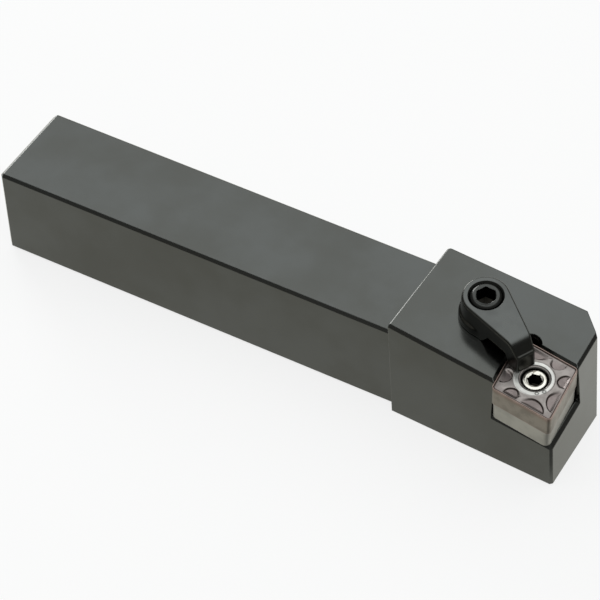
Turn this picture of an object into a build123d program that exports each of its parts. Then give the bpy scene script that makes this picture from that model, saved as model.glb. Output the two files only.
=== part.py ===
from build123d import *
from math import acos, atan2, cos, hypot, radians, sin, tan
import os

# Left-hand turning tool holder with a square shank, clamped from above and held by a pin.
# Millimetres, +Z up, +X along the shank towards the cutting nose, -Y to the cutting side.
# The origin is the centre of the shank's bottom face.

# Shank
shank_width = 20.0
shank_height = 20.0
shank_length = 89.8  # back end to the rear face of the head
shank_overlap = 4.0  # the shank's blank runs on into the head
shank_edge = 0.6  # chamfer of the four long edges
back_edge = 0.8  # chamfer round the back end

# Whole tool, measured to the rounded nose of the insert
overall_length = 125.0  # back end to the nose
nose_overhang = 5.0  # nose beyond the near side of the shank, so 25 mm from the far side
cutting_height = 20.0  # bottom of the shank to the nose
lead_angle = 5.0  # side cutting edge from the shank's direction, seen from above
rake_angle_along = 5.0  # the insert drops this much towards the front
rake_angle_across = 5.0  # and this much towards the cutting side

# Head
rear_angle = 1.9  # rear face from square
rear_round = 0.8  # its far upright corner
side_step = 1.6  # how far the head stands out of the shank at its rear
side_angle = 3.0  # cutting side of the head from the shank's direction
front_setback = 0.5  # front face behind the nose, at the near corner
front_angle = 2.8  # front face from square
corner_cut = 4.2  # cut across the far front corner
deck_rise = 0.4  # top face of the head above the insert
deck_edge = 0.6  # chamfer of the deck's near and front edges
nose_edge = 0.5  # chamfer of the upright edge under the nose
break_edge = 0.25  # chamfer of the head's other long edges

# Insert, a rhombus of 80 degrees
insert_circle = 12.7  # inscribed circle
insert_corner_angle = 80.0
insert_thickness = 4.76
nose_radius = 0.8
insert_bore = 5.16
insert_bore_edge = 0.42  # chamfer of the bore's mouths
breaker_rim = 0.3  # rim left along the cutting edges
breaker_strip = 0.5  # strip inside the rim
breaker_strip_depth = 0.15
scallop_depth = 0.3  # pockets beside the corners, below the land
scallop_radius = 1.5
scallop_inset = 1.2  # centre of each pocket inside the cutting edge
scallop_spread = 2.4  # centre of each pocket from the middle of the edge

# Shim under the insert
shim_thickness = 4.76
shim_inset = 0.25  # top outline inside the insert's
shim_foot_inset = 0.2  # bottom outline inside the top one
shim_radius = 1.5  # corners at the top
shim_bore = 6.6
shim_recess = 8.4  # recess for the collar of the pin
shim_recess_depth = 1.5

# Pocket
wall_gap = 0.05  # insert to the pocket walls
wall_edge = 0.5  # chamfer along the top of the walls
floor_edge = 0.7  # chamfer along the open edges of the floor
corner_relief = 1.1  # radius of the relief in the corner of the pocket
wall_relief = 1.8  # radius of the relief beside it, in the far wall
wall_relief_along = 2.6  # its centre from the corner, along the wall
wall_relief_inside = 0.55  # its centre inside the wall

# Lock pin
pin_head = 4.55
pin_head_edge = 0.3
pin_sink = 0.35  # top of the pin below the insert's top
pin_collar = 8.0
pin_collar_thickness = 1.3
pin_thread = 6.0
pin_thread_length = 11.0
pin_hexagon = 2.5  # across flats
pin_hexagon_depth = 3.0

# Clamp, measured from the axis of its screw
clamp_reach = 16.7  # screw axis to pin axis
clamp_angle = 17.0  # arm from the long diagonal of the insert
clamp_height = 5.95  # above the deck
clamp_round = 4.75  # radius of the round end, at its foot
clamp_draft_angle = 2.0
clamp_edge = 0.4  # chamfer round the top
clamp_bend_radius = 4.0  # radius where the top turns down to the nose
nose_gap = 2.6  # end of the nose to the pin axis
nose_width = 4.1
nose_corner = 0.6
nose_ramp_length = 2.9  # length of the sloped end
nose_ramp_foot = 0.4  # the slope meets the end face this far from the end
nose_ramp_foot_height = 3.6
nose_pad = 2.0  # length of the flat that presses on the insert
arch_height = 3.2  # underside between heel and nose, above the insert
arch_start = 5.2  # from the screw axis
arch_end = 3.2  # from the end of the nose
heel_radius = 5.1
heel_height = 1.5
heel_draft_angle = 9.0
clamp_mouth_diameter = 6.9  # countersink round the screw

# Clamp screw
screw_thread = 6.0
screw_length = 20.0
screw_proud = 0.2  # top of the screw above the clamp's top
screw_neck = 4.7  # relief between the two threads
screw_neck_length = 2.0
screw_hexagon = 3.5  # across flats
screw_hexagon_depth = 3.2

# Fits shared by the pieces
thread_clearance = 0.05  # radial, round the pin and the screw
thread_edge = 0.5  # chamfer at the ends of the pin and the screw
seat_gap = 0.05  # under the clamp and under the collar of the pin
hole_mouth = 0.4  # chamfer of the holes in the body

# Places in plan
back_end = -shank_length / 2
head_rear = shank_length / 2
far_side = shank_width / 2
nose_x = back_end + overall_length
nose_y = -far_side - nose_overhang
blank_height = 2 * cutting_height

# Insert's outline
half_corner = radians(insert_corner_angle / 2)
half_long = insert_circle / 2 / sin(half_corner)
half_short = insert_circle / 2 / cos(half_corner)

# Seat: origin at the centre of the insert's top, X along its long diagonal to the nose
seat_normal = Vector(tan(radians(rake_angle_along)), -tan(radians(rake_angle_across)), 1).normalized()
diagonal_turn = -radians(lead_angle) - half_corner
diagonal_drop = (seat_normal.X * cos(diagonal_turn) + seat_normal.Y * sin(diagonal_turn)) / seat_normal.Z
diagonal = Vector(cos(diagonal_turn), sin(diagonal_turn), -diagonal_drop).normalized()
nose_centre = Vector(nose_x - nose_radius, nose_y + nose_radius, cutting_height)
insert_centre = nose_centre - diagonal * (half_long - nose_radius / sin(half_corner))
seat = Plane(origin=insert_centre, x_dir=diagonal, z_dir=seat_normal)
pin_axis = Axis(seat.origin, seat.z_dir)
diagonal_axis = Axis(seat.origin, seat.x_dir)
# Through the pin axis: X is the radius and Y the depth below the insert's top
pin_section = Plane(origin=seat.origin, x_dir=seat.x_dir, z_dir=seat.y_dir)

deck = seat.offset(deck_rise)
shim_top = seat.offset(-insert_thickness)
floor_depth = insert_thickness + shim_thickness
floor = seat.offset(-floor_depth)

# Clamp's frame, level with the insert's top: origin on the screw axis, X along the arm
arm_direction = seat.x_dir.rotate(pin_axis, clamp_angle)
arm = Plane(origin=seat.origin - arm_direction * clamp_reach, x_dir=arm_direction, z_dir=seat_normal)
screw_axis = Axis(arm.origin, arm.z_dir)
arm_side = Plane(origin=arm.origin, x_dir=arm.x_dir, z_dir=-arm.y_dir)
screw_section = Plane(origin=arm.origin, x_dir=arm.x_dir, z_dir=arm.y_dir)
clamp_top = deck_rise + clamp_height
clamp_top_plane = arm.offset(clamp_top)
heel_level = deck_rise + seat_gap


def rhombus(inset=0.0, scale=1.0):
    """Corners of the insert's outline, scaled about its centre, then moved in by the inset."""
    shrink = scale - inset / (insert_circle / 2)
    return [
        (half_long * shrink, 0),
        (0, half_short * shrink),
        (-half_long * shrink, 0),
        (0, -half_short * shrink),
    ]


# Shank
with BuildPart() as shank:
    with BuildSketch(Plane.XY):
        with Locations((shank_overlap / 2, 0)):
            Rectangle(shank_length + shank_overlap, shank_width)
    extrude(amount=shank_height)
    chamfer(shank.edges().filter_by(Axis.X), length=shank_edge)
    chamfer(shank.faces().sort_by(Axis.X)[0].edges(), length=back_edge)

# Plan of the head
near_rear_y = -far_side - side_step
near_rear = (head_rear - tan(radians(rear_angle)) * (far_side - near_rear_y), near_rear_y)
near_front_x = nose_x - front_setback
near_front = (near_front_x, near_rear_y - tan(radians(side_angle)) * (near_front_x - near_rear[0]))


def front_face_x(y):
    """Where the front face stands at this distance across the tool."""
    return near_front[0] - tan(radians(front_angle)) * (y - near_front[1])


head_plan = [
    near_rear,
    near_front,
    (front_face_x(far_side - corner_cut), far_side - corner_cut),
    (front_face_x(far_side) - corner_cut, far_side),
    (head_rear, far_side),
]

# The pocket is a rhombus that runs out of the head, with its back corner behind the insert's
pocket_scale = 2.5
pocket_back = half_long + wall_gap / sin(half_corner)
pocket_middle = half_long * pocket_scale - pocket_back

# Reliefs at the pocket's corner: the far wall leaves it at half the insert's corner angle
relief_centre = (
    -pocket_back + wall_relief_along * cos(half_corner) + wall_relief_inside * sin(half_corner),
    wall_relief_along * sin(half_corner) - wall_relief_inside * cos(half_corner),
)

# Body
with BuildPart() as holder_body:
    with BuildSketch(Plane.XY):
        Polygon(*head_plan, align=None)
        fillet(vertices().sort_by_distance((head_rear, far_side))[0], radius=rear_round)
    extrude(amount=blank_height)
    split(bisect_by=deck, keep=Keep.BOTTOM)
    deck_edges = holder_body.faces().filter_by(deck).edges()
    chamfer([deck_edges.sort_by(Axis.Y)[0], deck_edges.sort_by(Axis.X)[-1]], length=deck_edge)
    deck_edges = holder_body.faces().filter_by(deck).edges()
    chamfer([deck_edges.sort_by(Axis.X)[0], deck_edges.sort_by(Axis.Y)[-1]], length=break_edge)
    uprights = holder_body.edges().filter_by(Axis.Z)
    chamfer(uprights.sort_by(Axis.Y)[0], length=nose_edge)
    head_bottom = holder_body.faces().sort_by(Axis.Z)[0]
    chamfer(head_bottom.edges().sort_by(Axis.X)[2:], length=break_edge)
    add(shank.part)

    # Pocket, then the chamfer along the top of its walls
    with BuildSketch(deck):
        with Locations((pocket_middle, 0)):
            Polygon(*rhombus(scale=pocket_scale))
    extrude(amount=-(deck_rise + floor_depth), mode=Mode.SUBTRACT)
    with BuildSketch(deck):
        with Locations((pocket_middle, 0)):
            Polygon(*rhombus(inset=-wall_edge, scale=pocket_scale))
    extrude(amount=-wall_edge, taper=45, mode=Mode.SUBTRACT)

    # Reliefs at the corner
    for centre, relief in (((-pocket_back, 0), corner_relief), (relief_centre, wall_relief)):
        with BuildSketch(deck):
            with Locations(centre):
                Circle(relief)
        extrude(amount=-(deck_rise + floor_depth), mode=Mode.SUBTRACT)
        with BuildSketch(deck):
            with Locations(centre):
                Circle(relief + wall_edge)
        extrude(amount=-wall_edge, taper=45, mode=Mode.SUBTRACT)

    # Chamfer along the open edges of the floor
    floor_face = holder_body.faces().filter_by(floor).sort_by(pin_axis)[0]
    chamfer(floor_face.edges().sort_by(diagonal_axis)[-3:], length=floor_edge)

    # Tapped holes for the pin and the clamp screw, right through
    with BuildSketch(floor):
        Circle(pin_thread / 2 + thread_clearance)
    extrude(amount=-blank_height, mode=Mode.SUBTRACT)
    with BuildSketch(arm):
        Circle(screw_thread / 2 + thread_clearance)
    extrude(amount=blank_height, both=True, mode=Mode.SUBTRACT)
    with BuildSketch(arm.offset(deck_rise)):
        Circle(screw_thread / 2 + thread_clearance + hole_mouth)
    extrude(amount=-hole_mouth, taper=45, mode=Mode.SUBTRACT)
    underside = holder_body.faces().sort_by(Axis.Z)[0]
    chamfer(underside.inner_wires().edges(), length=hole_mouth)

# Shim: its sides draw in towards the underside
with BuildPart() as shim:
    with BuildSketch(shim_top):
        Polygon(*rhombus(inset=shim_inset))
        fillet(vertices(), radius=shim_radius)
    with BuildSketch(floor):
        Polygon(*rhombus(inset=shim_inset + shim_foot_inset))
        fillet(vertices(), radius=shim_radius + shim_foot_inset)
    loft()
    with BuildSketch(shim_top):
        Circle(shim_bore / 2)
    extrude(amount=-shim_thickness, mode=Mode.SUBTRACT)
    with BuildSketch(shim_top):
        Circle(shim_recess / 2)
    extrude(amount=-shim_recess_depth, mode=Mode.SUBTRACT)

# Round pockets of the chip breaker, two beside the middle of each cutting edge
scallops = []
for side_x in (1, -1):
    for side_y in (1, -1):
        for spread in (scallop_spread, -scallop_spread):
            along = spread * cos(half_corner) - scallop_inset * sin(half_corner)
            across = -spread * sin(half_corner) - scallop_inset * cos(half_corner)
            scallops.append((side_x * (half_long / 2 + along), side_y * (half_short / 2 + across)))

# Insert: the same chip breaker on both faces
with BuildPart() as insert:
    with BuildSketch(seat):
        Polygon(*rhombus())
        fillet(vertices(), radius=nose_radius)
    extrude(amount=-insert_thickness)
    for face, inwards in ((seat, -1), (shim_top, 1)):
        with BuildSketch(face):
            Polygon(*rhombus(inset=breaker_rim))
            Polygon(*rhombus(inset=breaker_rim + breaker_strip), mode=Mode.SUBTRACT)
        extrude(amount=inwards * breaker_strip_depth, mode=Mode.SUBTRACT)
        with BuildSketch(face):
            with Locations(scallops):
                Circle(scallop_radius)
            Polygon(*rhombus(inset=breaker_rim), mode=Mode.INTERSECT)
        extrude(amount=inwards * scallop_depth, mode=Mode.SUBTRACT)
        with BuildSketch(face):
            Circle(insert_bore / 2 + insert_bore_edge)
        extrude(amount=inwards * insert_bore_edge, taper=45, mode=Mode.SUBTRACT)
    with BuildSketch(seat):
        Circle(insert_bore / 2)
    extrude(amount=-insert_thickness, mode=Mode.SUBTRACT)

# Lock pin: its collar holds the shim down
collar_foot = insert_thickness + shim_recess_depth - seat_gap
collar_head = collar_foot - pin_collar_thickness
pin_foot = collar_foot + pin_thread_length
with BuildPart() as lock_pin:
    with BuildSketch(pin_section):
        with BuildLine():
            Polyline(
                (0, pin_sink),
                (pin_head / 2 - pin_head_edge, pin_sink),
                (pin_head / 2, pin_sink + pin_head_edge),
                (pin_head / 2, collar_head),
                (pin_collar / 2, collar_head),
                (pin_collar / 2, collar_foot),
                (pin_thread / 2, collar_foot),
                (pin_thread / 2, pin_foot - thread_edge),
                (pin_thread / 2 - thread_edge, pin_foot),
                (0, pin_foot),
                close=True,
            )
        make_face()
    revolve(axis=pin_axis)
    with BuildSketch(seat.offset(-pin_sink)):
        RegularPolygon(radius=pin_hexagon / 2, side_count=6, major_radius=False)
    extrude(amount=-pin_hexagon_depth, mode=Mode.SUBTRACT)

# Clamp: plan drawn round the screw at its foot and at its top, then cut to its side view
nose_end = clamp_reach - nose_gap
clamp_lean = (clamp_top - seat_gap) * tan(radians(clamp_draft_angle))
with BuildPart() as clamp:
    for level, inset in ((seat_gap, 0), (clamp_top, clamp_lean)):
        round_end = clamp_round - inset
        end_x = nose_end - inset
        end_y = nose_width / 2 - inset
        leave = atan2(end_y, end_x) + acos(round_end / hypot(end_x, end_y))
        leave_x = round_end * cos(leave)
        leave_y = round_end * sin(leave)
        with BuildSketch(arm.offset(level)):
            with BuildLine():
                ThreePointArc((leave_x, -leave_y), (-round_end, 0), (leave_x, leave_y))
                Polyline((leave_x, leave_y), (end_x, end_y), (end_x, -end_y), (leave_x, -leave_y))
            make_face()
            fillet(vertices().sort_by(Axis.X)[-2:], radius=nose_corner)
    loft(ruled=True)
    with BuildSketch(arm_side):
        with BuildLine():
            Polyline(
                (-2 * clamp_round, heel_level),
                (clamp_round, heel_level),
                (arch_start, arch_height),
                (nose_end - arch_end, arch_height),
                (nose_end - nose_pad, seat_gap),
                (nose_end, seat_gap),
                (nose_end - nose_ramp_foot, nose_ramp_foot_height),
                (nose_end - nose_ramp_length, clamp_top),
                (-2 * clamp_round, clamp_top),
                close=True,
            )
        make_face()
        bend = (nose_end - nose_ramp_length, clamp_top)
        fillet(vertices().sort_by_distance(bend)[0], radius=clamp_bend_radius)
    extrude(amount=2 * clamp_round, both=True, mode=Mode.INTERSECT)
    # The flat top, the bend and the slope
    crown = clamp.faces().sort_by(screw_axis)[-3:]
    chamfer(crown.edges().filter_by(Axis(arm.origin, arm.y_dir), reverse=True), length=clamp_edge)
    with BuildSketch(arm.offset(heel_level)):
        Circle(heel_radius)
    extrude(amount=heel_height, taper=heel_draft_angle)
    with BuildSketch(arm):
        Circle(screw_thread / 2 + thread_clearance)
    extrude(amount=clamp_top, mode=Mode.SUBTRACT)
    mouth_edge = clamp_mouth_diameter / 2 - screw_thread / 2 - thread_clearance
    top_face = clamp.faces().filter_by(arm).sort_by(screw_axis)[-1]
    chamfer(top_face.inner_wires().edges(), length=mouth_edge)

# Clamp screw: a thread for the clamp above, a thread for the body below
screw_head = -clamp_top - screw_proud
screw_foot = screw_head + screw_length
neck_head = -deck_rise - screw_neck_length / 2
neck_foot = neck_head + screw_neck_length
neck_depth = (screw_thread - screw_neck) / 2
with BuildPart() as clamp_screw:
    with BuildSketch(screw_section):
        with BuildLine():
            Polyline(
                (0, screw_head),
                (screw_thread / 2 - thread_edge, screw_head),
                (screw_thread / 2, screw_head + thread_edge),
                (screw_thread / 2, neck_head - neck_depth),
                (screw_neck / 2, neck_head),
                (screw_neck / 2, neck_foot),
                (screw_thread / 2, neck_foot + neck_depth),
                (screw_thread / 2, screw_foot - thread_edge),
                (screw_thread / 2 - thread_edge, screw_foot),
                (0, screw_foot),
                close=True,
            )
        make_face()
    revolve(axis=screw_axis)
    with BuildSketch(clamp_top_plane.offset(screw_proud)):
        RegularPolygon(radius=screw_hexagon / 2, side_count=6, major_radius=False)
    extrude(amount=-screw_hexagon_depth, mode=Mode.SUBTRACT)

holder_body.part.label = "holder_body"
shim.part.label = "shim"
insert.part.label = "insert"
lock_pin.part.label = "lock_pin"
clamp.part.label = "clamp"
clamp_screw.part.label = "clamp_screw"

os.makedirs("parts", exist_ok=True)
export_step(holder_body.part, "parts/holder_body.step")
export_step(shim.part, "parts/shim.step")
export_step(insert.part, "parts/insert.step")
export_step(lock_pin.part, "parts/lock_pin.step")
export_step(clamp.part, "parts/clamp.step")
export_step(clamp_screw.part, "parts/clamp_screw.step")
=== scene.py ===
import logging
import math
from dataclasses import dataclass
from enum import Enum
from typing import Optional

import bpy
import numpy as np
from mathutils import Matrix


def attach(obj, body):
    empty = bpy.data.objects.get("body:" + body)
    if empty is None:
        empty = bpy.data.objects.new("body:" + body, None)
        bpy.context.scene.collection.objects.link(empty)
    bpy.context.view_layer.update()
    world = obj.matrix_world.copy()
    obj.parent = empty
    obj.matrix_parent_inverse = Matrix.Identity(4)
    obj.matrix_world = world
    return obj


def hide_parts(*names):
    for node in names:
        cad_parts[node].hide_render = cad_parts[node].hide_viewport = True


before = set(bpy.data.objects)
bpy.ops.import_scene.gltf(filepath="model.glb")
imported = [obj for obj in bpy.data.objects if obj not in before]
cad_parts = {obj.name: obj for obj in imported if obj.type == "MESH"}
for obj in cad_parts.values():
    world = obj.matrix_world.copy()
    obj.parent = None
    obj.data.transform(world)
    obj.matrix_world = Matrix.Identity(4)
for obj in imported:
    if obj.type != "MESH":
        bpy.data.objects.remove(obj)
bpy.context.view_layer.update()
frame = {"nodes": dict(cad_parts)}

MM = 0.001
FULL_TURN = 2 * math.pi
HALF_CORNER = math.radians(40.0)
THREAD_CREST = 0.12
THREAD_FLANK = 0.68
Pair = tuple[float, float]
Triple = tuple[float, float, float]
Rgb = Triple
Array = np.ndarray
Socket = bpy.types.NodeSocket
# Near-black painted shade for the insides of sockets and bores.
HOLLOW_SHADE: Rgb = (0.012, 0.011, 0.009)
WHITE: Rgb = (1.0, 1.0, 1.0)

logging.basicConfig(level=logging.INFO, format="%(levelname)s %(message)s")
log = logging.getLogger("turning_tool_holder")


class Body(Enum):
    """The bodies that pieces ride on."""

    HOLDER = "holder"
    CLAMP = "clamp"
    CLAMP_SCREW = "clamp_screw"
    LOCK_PIN = "lock_pin"


class Slot(Enum):
    """The record's material slots."""

    BODY = "body_black_oxide"
    SHIM = "shim_carbide"
    PIN = "pin_steel"
    INSERT = "insert_coated"
    CLAMP = "clamp_black"
    SCREW = "screw_black"


# Places, curves and grids


@dataclass(frozen=True)
class TiltedFrame:
    """A right-handed frame in the part, in millimetres: origin, X direction and Z direction."""

    origin: Triple
    along: Triple
    up: Triple = (0.0868266, -0.0868266, 0.9924325)

    def place(self, x: Array, y: Array, z: Array) -> Array:
        """Points of the part, in metres: origin + x X + y (Z cross X) + z Z.

        Args:
            x, y, z: coordinates in this frame, in millimetres, as arrays of one shape.

        Returns:
            An array with a last axis of three.
        """
        up = np.array(self.up)
        up = up / np.linalg.norm(up)
        along = np.array(self.along)
        along = along - up * along.dot(up)
        along = along / np.linalg.norm(along)
        across = np.cross(up, along)
        x, y, z = np.broadcast_arrays(x, y, z)
        flat = np.array(self.origin) + x[..., None] * along + y[..., None] * across + z[..., None] * up
        return flat * MM


SEAT = TiltedFrame(origin=(73.240853, -8.140853, 21.060213), along=(0.70176, -0.70176, -0.12279))
ARM = TiltedFrame(origin=(58.581086, -0.386136, 23.021227), along=(0.877830, -0.464354, -0.117426))


def smoothstep(low: float, high: float, value: Array) -> Array:
    """0 below low, 1 above high, and 3t^2 - 2t^3 between them."""
    t = np.clip((value - low) / (high - low), 0, 1)
    return t * t * (3 - 2 * t)


def thread_wave(height: Array, angle: Array, pitch: float, right_handed: bool = True) -> Array:
    """Depth below a thread's crest, 0 to 1: a trapezium wave of height / pitch less angle / full turn."""
    phase = np.mod(height / pitch - angle / FULL_TURN * (1 if right_handed else -1), 1.0)
    return np.clip((np.abs(phase - 0.5) * 2 - THREAD_CREST) / THREAD_FLANK, 0, 1)


def rhombus(inner: float, radius: float) -> tuple[Triple, ...]:
    """Circles at the corners of the insert's kind of rhombus, which is long along X.

    A corner is inner / sin or inner / cos of half the acute corner away from the middle.

    Args:
        inner: distance from the middle to the rhombus's sides.
        radius: the circles' radius.

    Returns:
        Four circles, each as x, y and radius.
    """
    long, short = inner / math.sin(HALF_CORNER), inner / math.cos(HALF_CORNER)
    return tuple((x, y, radius) for x, y in ((long, 0), (0, short), (-long, 0), (0, -short)))


def stack_rows(parts: list[tuple], columns: int) -> list[Array]:
    """Joins the rows of a grid from parts, such as a radius and a height, that are numbers or arrays.

    Args:
        parts: tuples of one length, whose members are spread to one shape with all columns.
        columns: number of columns of the grid.

    Returns:
        One grid for each place in the tuples.
    """
    grids = [np.broadcast_arrays(*part, np.empty((1, columns))) for part in parts]
    return [np.concatenate([grid[place] for grid in grids]) for place in range(len(parts[0]))]


@dataclass
class Belt:
    """A closed outline drawn tight round circles, anticlockwise. Millimetres.

    Each circle is a centre's x and y and a radius. The outline is sampled at even steps along its length.
    """

    circles: tuple[Triple, ...]
    count: int

    def sample(self) -> tuple[Array, Array, Array]:
        """Point = centre + radius x outward direction, all interpolated along the arcs and straights.

        On an arc the direction turns. On a straight the centre and the radius go over to the next circle's,
        and the direction stays at the tangent's: the centres' line less acos(radius step / distance).

        Returns:
            x, y and the angle of the outward direction.
        """
        x, y, radius = np.array(self.circles).T
        step_x, step_y, step_r = (np.roll(part, -1) - part for part in (x, y, radius))
        distance = np.hypot(step_x, step_y)
        leave = np.arctan2(step_y, step_x) - np.arccos(-step_r / distance)
        arrive = np.roll(leave, 1)
        turn = np.mod(leave - arrive, FULL_TURN)
        straight = np.sqrt(distance**2 - step_r**2)
        stations = np.concatenate([[0], np.cumsum(np.stack([turn * radius, straight], axis=1).ravel())])
        turned = np.cumsum(np.stack([turn, np.zeros_like(turn)], axis=1).ravel())
        facing = arrive[0] + np.concatenate([[0], turned])
        walk = (np.arange(self.count) + 0.5) / self.count * stations[-1]
        angle = np.interp(walk, stations, facing)
        closed = [np.append(np.repeat(part, 2), part[0]) for part in (x, y, radius)]
        path = [np.interp(walk, stations, part) for part in closed]
        return path[0] + path[2] * np.cos(angle), path[1] + path[2] * np.sin(angle), angle


@dataclass
class GridSurface:
    """A surface given by points on a grid of rows and columns, closed round the columns.

    The rows run along a profile. They close on themselves, or end in two poles.
    """

    name: str
    points: Array
    close_rows: bool = False
    poles: Optional[Array] = None

    def faces(self) -> list[list[int]]:
        """Quads between neighbouring rows and columns, and fans of triangles round the poles.

        Returns:
            Lists of vertex numbers.
        """
        rows, columns = self.points.shape[:2]
        number = np.arange(rows * columns).reshape(rows, columns)
        lower = number if self.close_rows else number[:-1]
        upper = np.roll(number, -1, axis=0) if self.close_rows else number[1:]
        quads = np.stack([lower, np.roll(lower, -1, axis=1), np.roll(upper, -1, axis=1), upper], axis=-1)
        made = quads.reshape(-1, 4).tolist()
        if self.poles is not None:
            first, last = rows * columns, rows * columns + 1
            start, end = number[0], number[-1]
            made += np.stack([np.roll(start, -1), start, np.full(columns, first)], axis=-1).tolist()
            made += np.stack([end, np.roll(end, -1), np.full(columns, last)], axis=-1).tolist()
        return made

    def build(self, sharp_degrees: float = 35.0, **masks: Array) -> bpy.types.Object:
        """Makes the mesh and its object, smooth but for edges sharper than the angle.

        Args:
            sharp_degrees: edges that turn by more than this stay crisp.
            masks: values on the same grid, kept as point attributes for the material.

        Returns:
            The object, at the origin, linked to the scene.
        """
        vertices = self.points.reshape(-1, 3)
        if self.poles is not None:
            vertices = np.concatenate([vertices, self.poles])
        mesh = bpy.data.meshes.new(self.name)
        mesh.from_pydata(vertices.tolist(), [], self.faces())
        mesh.update()
        for mask, values in masks.items():
            flat = np.zeros(len(mesh.vertices), np.float32)
            flat[: values.size] = values.ravel()
            layer = mesh.attributes.new(mask, "FLOAT", "POINT")
            layer.data.foreach_set("value", flat)
        mesh.shade_smooth()
        mesh.set_sharp_from_angle(angle=math.radians(sharp_degrees))
        made = bpy.data.objects.new(self.name, mesh)
        bpy.context.scene.collection.objects.link(made)
        return made


# Shader graphs


def rgba(colour: object) -> object:
    """What a colour input takes: a tone with full alpha, or a link as it is."""
    return (*colour, 1.0) if isinstance(colour, tuple) else colour


class Graph:
    """Short way to place and join shader nodes in one tree."""

    def __init__(self, tree: bpy.types.NodeTree) -> None:
        """Keeps the tree that the nodes go into."""
        self.tree = tree

    def node(self, kind: str, settings: Optional[dict] = None, **sockets: object) -> bpy.types.Node:
        """Adds a node, sets its properties, then sets or links its inputs.

        Args:
            kind: the node's type, without the leading "ShaderNode".
            settings: properties of the node.
            sockets: values or links for inputs, by name with spaces as underscores, or i0, i1 by place.

        Returns:
            The node.
        """
        made = self.tree.nodes.new("ShaderNode" + kind)
        for key, value in (settings or {}).items():
            setattr(made, key, value)
        for key, value in sockets.items():
            place = int(key[1:]) if key[0] == "i" and key[1:].isdigit() else key.replace("_", " ")
            socket = made.inputs[place]
            if isinstance(value, Socket):
                self.tree.links.new(value, socket)
            else:
                socket.default_value = value
        return made

    def math(self, operation: str, first: object, second: object, clamp: bool = False) -> Socket:
        """Output of a Math node."""
        settings = {"operation": operation, "use_clamp": clamp}
        return self.node("Math", settings, i0=first, i1=second).outputs[0]

    def mix(self, factor: object, first: object, second: object, blend: str = "MIX") -> Socket:
        """Colour output of a Mix node: first at factor 0, second at factor 1."""
        settings = {"data_type": "RGBA", "blend_type": blend}
        return self.node("Mix", settings, i0=factor, i6=rgba(first), i7=rgba(second)).outputs[2]

    def spread(self, value: object, low: float, high: float, to_low: float = 0.0,
               to_high: float = 1.0) -> Socket:
        """Output of a Map Range node from low..high to to_low..to_high, clamped and eased."""
        sockets = {"Value": value, "From_Min": low, "From_Max": high, "To_Min": to_low, "To_Max": to_high}
        return self.node("MapRange", {"interpolation_type": "SMOOTHSTEP"}, **sockets).outputs[0]

    def noise(self, place: Socket, scale: object, detail: float) -> Socket:
        """Value of a Noise Texture node."""
        return self.node("TexNoise", Vector=place, Scale=scale, Detail=detail).outputs[0]

    def object_place(self) -> Socket:
        """Object coordinates."""
        return self.node("TexCoord").outputs["Object"]

    def mask(self, name: str) -> Socket:
        """One of the piece's own point attributes."""
        return self.node("Attribute", {"attribute_name": name}).outputs["Fac"]

    def group(self, tree: bpy.types.NodeTree, **sockets: object) -> bpy.types.Node:
        """Places a node group and sets or links its inputs."""
        return self.node("Group", {"node_tree": tree}, **sockets)


class SharedEffect:
    """A node group that several finishes use. It is built once and then found by its name."""

    name: str
    inputs: tuple[str, ...]
    outputs: dict[str, str]

    def wire(self, graph: Graph, given: bpy.types.NodeOutputs) -> list[Socket]:
        """Makes the nodes between the group's inputs and outputs. Each effect has its own."""
        raise NotImplementedError

    def build(self) -> bpy.types.NodeTree:
        """Builds the group, or gives the one that exists.

        Returns:
            The group's tree.
        """
        if self.name in bpy.data.node_groups:
            return bpy.data.node_groups[self.name]
        tree = bpy.data.node_groups.new(self.name, "ShaderNodeTree")
        for name in self.inputs:
            tree.interface.new_socket(name, in_out="INPUT", socket_type="NodeSocketFloat")
        for name, kind in self.outputs.items():
            tree.interface.new_socket(name, in_out="OUTPUT", socket_type=kind)
        given = tree.nodes.new("NodeGroupInput")
        result = tree.nodes.new("NodeGroupOutput")
        for name, socket in zip(self.outputs, self.wire(Graph(tree), given.outputs)):
            tree.links.new(socket, result.inputs[name])
        return tree


@dataclass(frozen=True)
class EdgeWear(SharedEffect):
    """Rounded-edge normal, and a mask of the worn outer edges broken up by noise."""

    noise_scale: float = 900.0
    lean: Pair = (0.995, 0.9)
    patches: Pair = (0.42, 0.62)
    name = "edge_wear"
    inputs = ("Radius", "Amount")
    outputs = {"Normal": "NodeSocketVector", "Wear": "NodeSocketFloat"}

    def wire(self, graph: Graph, given: bpy.types.NodeOutputs) -> list[Socket]:
        """Wear = 1 where the rounded normal leans away from the true one, times noise, times the amount.

        Args:
            graph: the group's graph.
            given: sockets of the group's inputs.

        Returns:
            Normal and wear.
        """
        bevel = graph.node("Bevel", {"samples": 6}, Radius=given["Radius"])
        true = graph.node("NewGeometry").outputs["True Normal"]
        product = graph.node("VectorMath", {"operation": "DOT_PRODUCT"}, i0=bevel.outputs[0], i1=true)
        edge = graph.spread(product.outputs["Value"], *self.lean)
        patchy = graph.spread(graph.noise(graph.object_place(), self.noise_scale, 3.0), *self.patches)
        worn = graph.math("MULTIPLY", graph.math("MULTIPLY", edge, patchy), given["Amount"], clamp=True)
        return [bevel.outputs[0], worn]


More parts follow.
